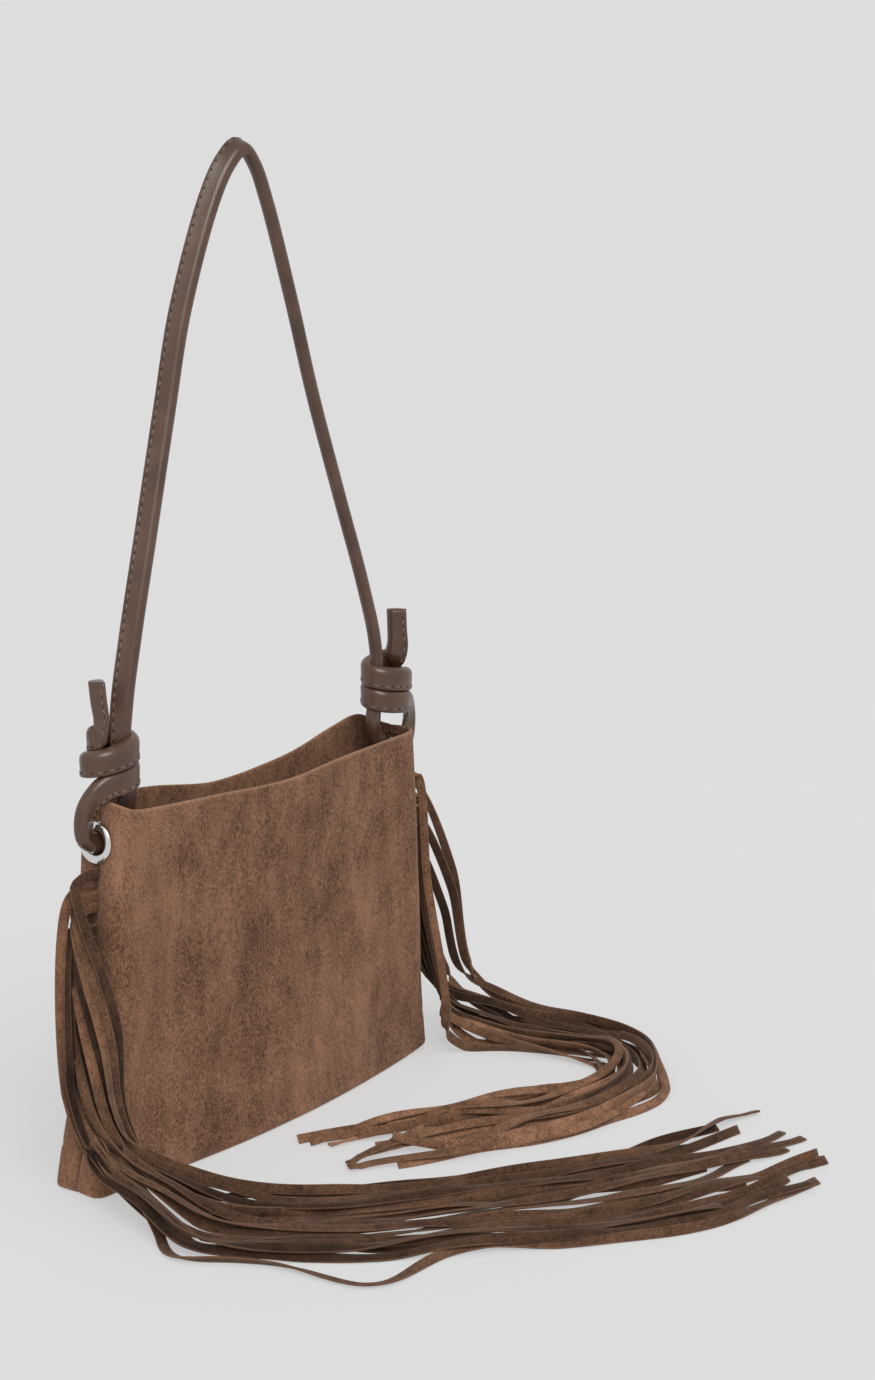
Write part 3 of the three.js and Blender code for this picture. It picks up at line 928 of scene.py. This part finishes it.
def lace_rings(route, tilts, hang_turn, twist):
    """Flat sections along a lace: upright at the seam, turned as it hangs, and leaning on the floor."""
    up = Vector((0, 0, 1))
    half = lace_width / 2
    flat = lace_thickness / 2
    outline = [(-half, -flat + lace_corner), (-half + lace_corner, -flat), (half - lace_corner, -flat),
               (half, -flat + lace_corner), (half, flat - lace_corner), (half - lace_corner, flat),
               (-half + lace_corner, flat), (-half, flat - lace_corner)]
    rings = []
    for i, (point, way, tilt) in enumerate(zip(route, directions(route), tilts)):
        run = i * lace_spacing
        turned = hang_turn + twist * (1 - point.z / route[0].z)
        hang_face = Vector((math.cos(turned), math.sin(turned), 0))
        sideways = way.cross(up)
        floor_face = sideways.normalized() * math.cos(tilt) + up * math.sin(tilt)
        hanging = smoothly((run - turn_start) / turn_run)
        lying = smoothly((lie_start - point.z) / lie_run) * smoothly((run - stay_run) / stay_run)
        wish = up.lerp(hang_face, hanging).lerp(floor_face, lying)
        wide = (wish - way * wish.dot(way)).normalized()
        thick = way.cross(wide)
        rings.append([point + wide * a + thick * b for a, b in outline])
    return rings


def paler_cut_edge(nodes, links, colour):
    """Dyes each lace by its shade attribute, which also holds painted light and shade, and mixes a
    paler tone into its two cut edges, partly a painted highlight where the edges catch the light.
    """
    uv = nodes.new("ShaderNodeUVMap")
    uv.uv_map = "lengthwise"
    split = nodes.new("ShaderNodeSeparateXYZ")
    links.new(uv.outputs["UV"], split.inputs["Vector"])
    ramp = nodes.new("ShaderNodeValToRGB")
    ramp.color_ramp.interpolation = "CONSTANT"
    stops = [(0, 0.4), (0.125, 0), (0.25, 0.4), (0.5, 0.4), (0.625, 0), (0.75, 0.4)]
    for i, (place, value) in enumerate(stops):
        element = ramp.color_ramp.elements[i] if i < 2 else ramp.color_ramp.elements.new(place)
        element.position = place
        element.color = (value, value, value, 1)
    links.new(split.outputs["X"], ramp.inputs["Fac"])
    shade = nodes.new("ShaderNodeAttribute")
    shade.attribute_name = "shade"
    dye = nodes.new("ShaderNodeMix")
    dye.data_type = "RGBA"
    dye.blend_type = "MULTIPLY"
    dye.inputs["Factor"].default_value = 1
    links.new(colour, dye.inputs["A"])
    links.new(shade.outputs["Color"], dye.inputs["B"])
    edge = nodes.new("ShaderNodeMix")
    edge.data_type = "RGBA"
    links.new(ramp.outputs["Color"], edge.inputs["Factor"])
    links.new(dye.outputs["Result"], edge.inputs["A"])
    # Paler cut edges: the cut suede's own colour, partly a painted highlight where the edges catch the
    # light.
    edge.inputs["B"].default_value = (0.2, 0.112, 0.072, 1)
    return edge.outputs["Result"]


lace_suede = suede("lace_suede", (0.052, 0.025, 0.014), (0.19, 0.097, 0.055), (60, 60, 60), 1000,
                   paler_cut_edge)

# How laces differ: the way they face in the hang, their twist in it, their dye and their nap, each with
# its own draws. The dye is partly random and partly painted light and shade, for lit and shaded laces
# in the hang; wear is how far that painted contrast evens out towards the tips.
turn_vary, turn_draw = 0.8, 210
twist_mean, twist_vary, twist_draw = 0.9, 0.9, 230
deepest_dye_and_shade, dye_and_light_range, dye_and_light_draw = 0.3, 1.25, 250
brush_vary, brush_wave, brush_draw = 0.35, 90 * mm, 270
wear = 0.65

lay_step = 7
laid = []
for name, side in (("left", -1), ("right", 1)):
    fringe = FRINGES[name]
    for turn in range(len(EXIT_RANKS)):
        number = turn * lay_step % len(EXIT_RANKS)
        seed = lace_seed(side, number)
        free_route = lace_route(fringe, side, number)
        steps = len(free_route)
        tilts = [lace_tilt(fringe["roll"], i * lace_spacing, i / steps, seed) for i in range(steps)]
        route = lay_down(free_route, tilts, laid)
        hang_turn = fringe["hang_turn"] + turn_vary * waver(0, 1, seed + turn_draw)
        twist = twist_mean + twist_vary * waver(0.21, 1, seed + twist_draw)
        rings = lace_rings(route, tilts, hang_turn, twist)
        lace_name = f"{name}_lace_{number + 1:02d}"
        lace = piece("suede_" + lace_name, swept(rings), lace_suede, "bag")
        # Each lace's dye: partly random tone, partly painted light and shade, evened out towards the
        # tips.
        dye_and_painted_light = deepest_dye_and_shade + dye_and_light_range * smoothly(0.5 + 1.5 * waver(0.37, 1, seed + dye_and_light_draw))
        shade = lace.data.attributes.new("shade", "FLOAT_COLOR", "POINT")
        for i, value in enumerate(shade.data):
            station = i // len(rings[0])
            brushed = 1 + brush_vary * waver(station * lace_spacing, brush_wave, seed + brush_draw)
            evened_dye_and_light = dye_and_painted_light + wear * (1 - dye_and_painted_light) * smoothly(2.5 * station / steps - 0.5)
            # Painted light and shade along the lace, times its dye and its brushed nap.
            tone = evened_dye_and_light * brushed * lace_painted_light(fringe["tone"], station / steps)
            value.color = (tone, tone, tone, 1)
        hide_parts(lace_name)

# Fringe headers
# The uncut strip of suede that the laces of one side hang from, sewn flat inside the side seam.
# Little of it shows, between the laces where they leave the seam.

header_fit = 0.995
header_edge = 0.35 * mm
header_suede = suede("header_suede", (0.1, 0.055, 0.034), (0.2, 0.115, 0.075), (60, 60, 40), 1000,
                     painted_fold_highlight)
for name in ("left_fringe_header", "right_fringe_header"):
    low, high = (Vector(corner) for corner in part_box(name))
    side = 1 if low.x > 0 else -1
    middle = (low + high) / 2
    bm = bmesh.new()
    bmesh.ops.create_cube(bm, size=1)
    strip_size = (lace_thickness, high.y - low.y, (high.z - low.z) * header_fit)
    bmesh.ops.scale(bm, verts=bm.verts, vec=strip_size)
    bmesh.ops.bevel(bm, geom=bm.edges, offset=header_edge, segments=2, profile=0.5, affect="EDGES",
                    material=-1)
    bmesh.ops.rotate(bm, verts=bm.verts, matrix=Matrix.Rotation(-side * side_lean, 3, "Y"))
    bmesh.ops.translate(bm, verts=bm.verts, vec=middle)
    strip = piece("suede_" + name, bm, header_suede, "bag", smooth=False)
    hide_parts(name)

# Floor, light and camera
# A plain pale floor that fades into a backdrop of the same grey, soft studio light, and the
# photograph's view.

backdrop_grey = 0.723
floor_grey = 0.26
floor_glow = 0.457
floor_reach = 4.0
fade_start = 0.6
fade_end = 2.2


def pale_floor():
    material = bpy.data.materials.new("pale_floor")
    material.use_nodes = True
    nodes = material.node_tree.nodes
    links = material.node_tree.links
    shader = nodes["Principled BSDF"]
    shader.inputs["Base Color"].default_value = (floor_grey, floor_grey, floor_grey, 1)
    shader.inputs["Emission Color"].default_value = (floor_glow, floor_glow, floor_glow, 1)
    shader.inputs["Emission Strength"].default_value = 1
    shader.inputs["Roughness"].default_value = 1
    shader.inputs["Specular IOR Level"].default_value = 0
    place = nodes.new("ShaderNodeTexCoord")
    far = nodes.new("ShaderNodeVectorMath")
    far.operation = "LENGTH"
    links.new(place.outputs["Object"], far.inputs[0])
    fade = nodes.new("ShaderNodeMapRange")
    fade.interpolation_type = "SMOOTHSTEP"
    fade.inputs["From Min"].default_value = fade_start
    fade.inputs["From Max"].default_value = fade_end
    fade.inputs["To Min"].default_value = 1
    fade.inputs["To Max"].default_value = 0
    links.new(far.outputs["Value"], fade.inputs["Value"])
    links.new(fade.outputs["Result"], shader.inputs["Alpha"])
    return material


bm = bmesh.new()
bmesh.ops.create_circle(bm, cap_ends=True, segments=96, radius=floor_reach)
floor_mesh = bpy.data.meshes.new("floor")
bm.to_mesh(floor_mesh)
bm.free()
floor_mesh.materials.append(pale_floor())
floor = bpy.data.objects.new("floor", floor_mesh)
bpy.context.scene.collection.objects.link(floor)

world = bpy.data.worlds.new("studio")
world.use_nodes = True
bpy.context.scene.world = world
nodes = world.node_tree.nodes
links = world.node_tree.links
fill = nodes["Background"]
fill.inputs["Color"].default_value = (1, 1, 1, 1)
fill.inputs["Strength"].default_value = 0.66
seen = nodes.new("ShaderNodeBackground")
seen.inputs["Color"].default_value = (backdrop_grey, backdrop_grey, backdrop_grey, 1)
rays = nodes.new("ShaderNodeLightPath")
plain_view = nodes.new("ShaderNodeMath")
plain_view.operation = "MAXIMUM"
links.new(rays.outputs["Is Camera Ray"], plain_view.inputs[0])
links.new(rays.outputs["Is Glossy Ray"], plain_view.inputs[1])
through = nodes.new("ShaderNodeMath")
through.operation = "MAXIMUM"
links.new(plain_view.outputs["Value"], through.inputs[0])
links.new(rays.outputs["Is Transmission Ray"], through.inputs[1])
choose = nodes.new("ShaderNodeMixShader")
links.new(through.outputs["Value"], choose.inputs["Fac"])
links.new(fill.outputs["Background"], choose.inputs[1])
links.new(seen.outputs["Background"], choose.inputs[2])
links.new(choose.outputs["Shader"], nodes["World Output"].inputs["Surface"])

key = bpy.data.lights.new("key_softbox", "SUN")
key.energy = 1.75
key.angle = math.radians(38)
key_lamp = bpy.data.objects.new("key_softbox", key)
key_lamp.rotation_euler = Vector((0.5, 0.62, -0.78)).to_track_quat("-Z", "Y").to_euler()
bpy.context.scene.collection.objects.link(key_lamp)

camera_place = Vector((-1.035, -0.885, 0.556))
camera_yaw = 0.636
camera_pitch = -0.227
camera_roll = 0.014
picture_height = 1380
focal_pixels = 2592
sensor = 36
forward = math.cos(camera_pitch)
ahead = Vector((forward * math.cos(camera_yaw), forward * math.sin(camera_yaw), math.sin(camera_pitch)))
level_right = ahead.cross(Vector((0, 0, 1))).normalized()
level_up = level_right.cross(ahead)
right = level_right * math.cos(camera_roll) + level_up * math.sin(camera_roll)
upward = level_up * math.cos(camera_roll) - level_right * math.sin(camera_roll)
lens = bpy.data.cameras.new("camera")
lens.sensor_fit = "VERTICAL"
lens.sensor_height = sensor
lens.lens = focal_pixels * sensor / picture_height
camera = bpy.data.objects.new("camera", lens)
camera_turn = Matrix((right, upward, -ahead)).transposed().to_4x4()
camera.matrix_world = Matrix.Translation(camera_place) @ camera_turn
bpy.context.scene.collection.objects.link(camera)
bpy.context.scene.camera = camera
bpy.context.scene.view_settings.view_transform = "Standard"
